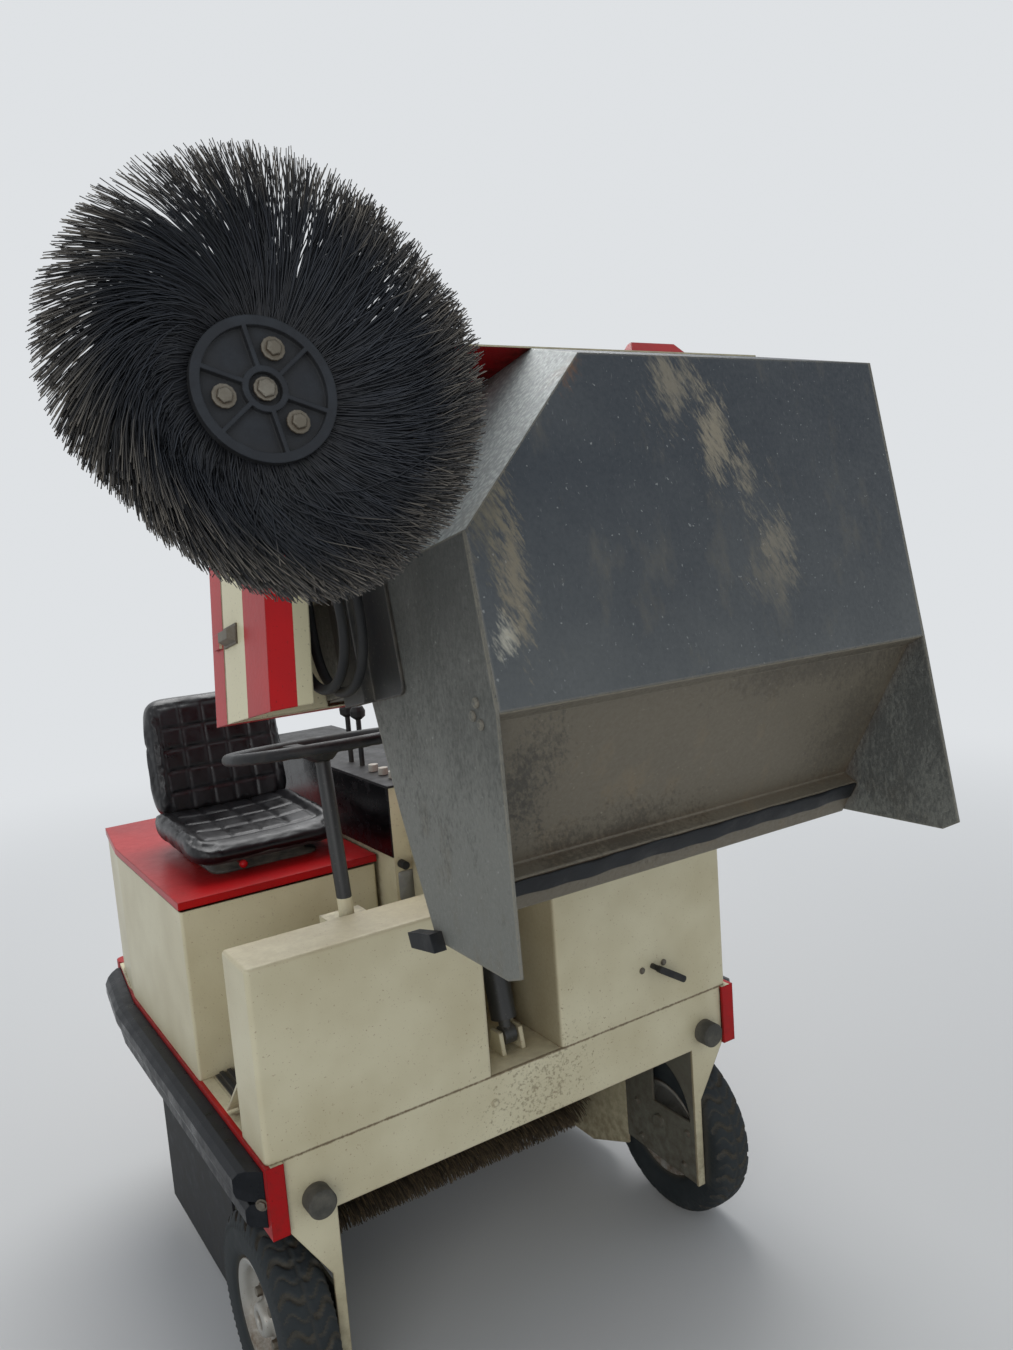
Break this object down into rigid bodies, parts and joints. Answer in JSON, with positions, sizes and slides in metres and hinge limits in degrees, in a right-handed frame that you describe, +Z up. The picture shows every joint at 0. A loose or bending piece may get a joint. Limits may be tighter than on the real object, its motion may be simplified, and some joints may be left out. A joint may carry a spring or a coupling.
{
  "type": "compact road sweeper",
  "caption": "Compact ride-on road sweeper with its front hopper tipped, side brush, roller brush under the deck, driver's seat, steering wheel and steered rear wheel.",
  "frame": {"origin": "on the ground under the middle of the whole machine's bounding box, hopper tipped", "axes": "+Z up, -Y the machine's front, -X its right-hand side with the side brush"},
  "size_m": [1.4948, 1.967, 2.0852],
  "materials": {
    "cream_paint": "gloss paint, dusty",
    "red_paint": "gloss paint",
    "black_paint": "satin paint",
    "grey_steel": "dusty, worn",
    "hopper_steel": "scratched, dusty",
    "zinc_steel": "zinc plated",
    "rim_steel": "silver paint with rust",
    "cast_metal": "rough cast",
    "chrome_rod": "polished",
    "black_rubber": "worn matt rubber",
    "tyre": "dusty",
    "black_vinyl": "embossed vinyl",
    "black_plastic": "moulded",
    "gloss_black": "gloss",
    "grey_plastic": "moulded",
    "bristle": "stiff bristles"
  },
  "bodies": {
    "chassis": {"front_beam": "cream_paint", "axle_plates": "cream_paint", "side_channels": "red_paint", "rear_beam": "red_paint", "tow_eye": "cream_paint", "deck": "cream_paint", "steering_box": "cream_paint", "tank_box": "cream_paint", "buffers": "black_rubber", "side_bumpers": "black_rubber", "side_skirts": "black_rubber", "seat_box": "cream_paint", "floor_mat": "black_rubber", "footrest": "cream_paint", "controls": "black_plastic", "steering_column": "black_paint", "console": "cream_paint", "console_side": "gloss_black", "instrument_panel": "grey_plastic", "control_levers": "black_plastic", "handles": "zinc_steel", "engine_case": "cream_paint", "engine_block": "cast_metal", "pivot_bracket": "cream_paint", "cylinder_foot": "cream_paint", "roller_housing": "cream_paint"},
    "wheel_right": {"tyre_right": "tyre", "rim_right": "rim_steel"},
    "wheel_left": {"tyre_left": "tyre", "rim_left": "rim_steel"},
    "rear_fork": {"rear_fork": "cream_paint"},
    "rear_wheel": {"tyre_rear": "tyre", "rim_rear": "rim_steel"},
    "steering_wheel": {"steering_wheel": "black_plastic"},
    "roller_arms": {"roller_arms": "black_paint"},
    "roller": {"roller_core": "cast_metal", "roller_bristles": "bristle"},
    "hopper": {"lift_arm": "cream_paint", "hopper_pan": "hopper_steel", "hopper_sides": "grey_steel", "hopper_ramp": "grey_steel", "hopper_back": "hopper_steel", "rubber_lip": "black_rubber", "hood": "red_paint", "hood_latch": "zinc_steel", "brush_arm": "black_paint", "brush_motor": "cast_metal", "brush_hoses": "black_rubber"},
    "hood_lid": {"hood_lid": "red_paint"},
    "side_brush": {"brush_disc": "grey_plastic", "brush_bristles": "bristle"},
    "lift_barrel": {"lift_barrel": "black_paint"},
    "lift_rod": {"lift_rod": "chrome_rod"},
    "seat": {"seat_lid": "red_paint", "seat_cushion": "black_vinyl", "seat_back": "black_vinyl"},
    "engine_hood": {"engine_hood": "red_paint"}
  },
  "joints": [
    {"name": "wheel_right_spin", "type": "hinge", "parent": "chassis", "child": "wheel_right", "pos_m": [-0.37159, -0.1375, 0.205], "axis": [1, 0, 0], "continuous": true},
    {"name": "wheel_left_spin", "type": "hinge", "parent": "chassis", "child": "wheel_left", "pos_m": [0.65441, -0.1375, 0.205], "axis": [1, 0, 0], "continuous": true},
    {"name": "rear_steer", "type": "hinge", "parent": "chassis", "child": "rear_fork", "pos_m": [0.14141, 0.6595, 0.5], "axis": [0, 0, 1], "range_deg": [-60, 60]},
    {"name": "rear_wheel_spin", "type": "hinge", "parent": "rear_fork", "child": "rear_wheel", "pos_m": [0.14141, 0.6845, 0.205], "axis": [1, 0, 0], "continuous": true},
    {"name": "steering_wheel_turn", "type": "hinge", "parent": "chassis", "child": "steering_wheel", "pos_m": [-0.15459, -0.1345, 0.945], "axis": [0, 0.1547, 0.988], "range_deg": [-300, 300]},
    {"name": "roller_arms_lift", "type": "hinge", "parent": "chassis", "child": "roller_arms", "pos_m": [0.14141, 0.3995, 0.29], "axis": [1, 0, 0], "range_deg": [0, 28.7]},
    {"name": "roller_spin", "type": "hinge", "parent": "roller_arms", "child": "roller", "pos_m": [0.14141, 0.1845, 0.271], "axis": [1, 0, 0], "continuous": true},
    {"name": "hopper_lift", "type": "hinge", "parent": "chassis", "child": "hopper", "pos_m": [0.14141, -0.0525, 1.035], "axis": [1, 0, 0], "range_deg": [0, 101.7]},
    {"name": "hood_lid_open", "type": "hinge", "parent": "hopper", "child": "hood_lid", "pos_m": [0.14141, -0.19863, 1.86794], "axis": [1, 0, 0], "range_deg": [0, 60]},
    {"name": "side_brush_spin", "type": "hinge", "parent": "hopper", "child": "side_brush", "pos_m": [-0.50159, -0.87294, 1.83193], "axis": [0, 0.9792, -0.2028], "continuous": true},
    {"name": "cylinder_swing", "type": "hinge", "parent": "chassis", "child": "lift_barrel", "pos_m": [0.14141, -0.2105, 0.63], "axis": [1, 0, 0], "range_deg": [0, 2.05]},
    {"name": "rod_slide", "type": "slide", "parent": "lift_barrel", "child": "lift_rod", "axis": [0, 0.2098, 0.9778], "range_m": [-0.18561, 0]},
    {"name": "seat_tilt", "type": "hinge", "parent": "chassis", "child": "seat", "pos_m": [-0.19859, 0.8295, 0.965], "axis": [-1, 0, 0], "range_deg": [0, 65]},
    {"name": "engine_hood_open", "type": "hinge", "parent": "chassis", "child": "engine_hood", "pos_m": [0.26841, 0.4195, 1.062], "axis": [0, -1, 0], "range_deg": [0, 75]}
  ],
  "couplings": [
    {"joint": "steering_wheel_turn", "follows": "rear_steer", "ratio": -5},
    {"joint": "cylinder_swing", "follows": "hopper_lift", "ratio": 0.020043},
    {"joint": "rod_slide", "follows": "hopper_lift", "m_per_rad": -0.10451}
  ]
}
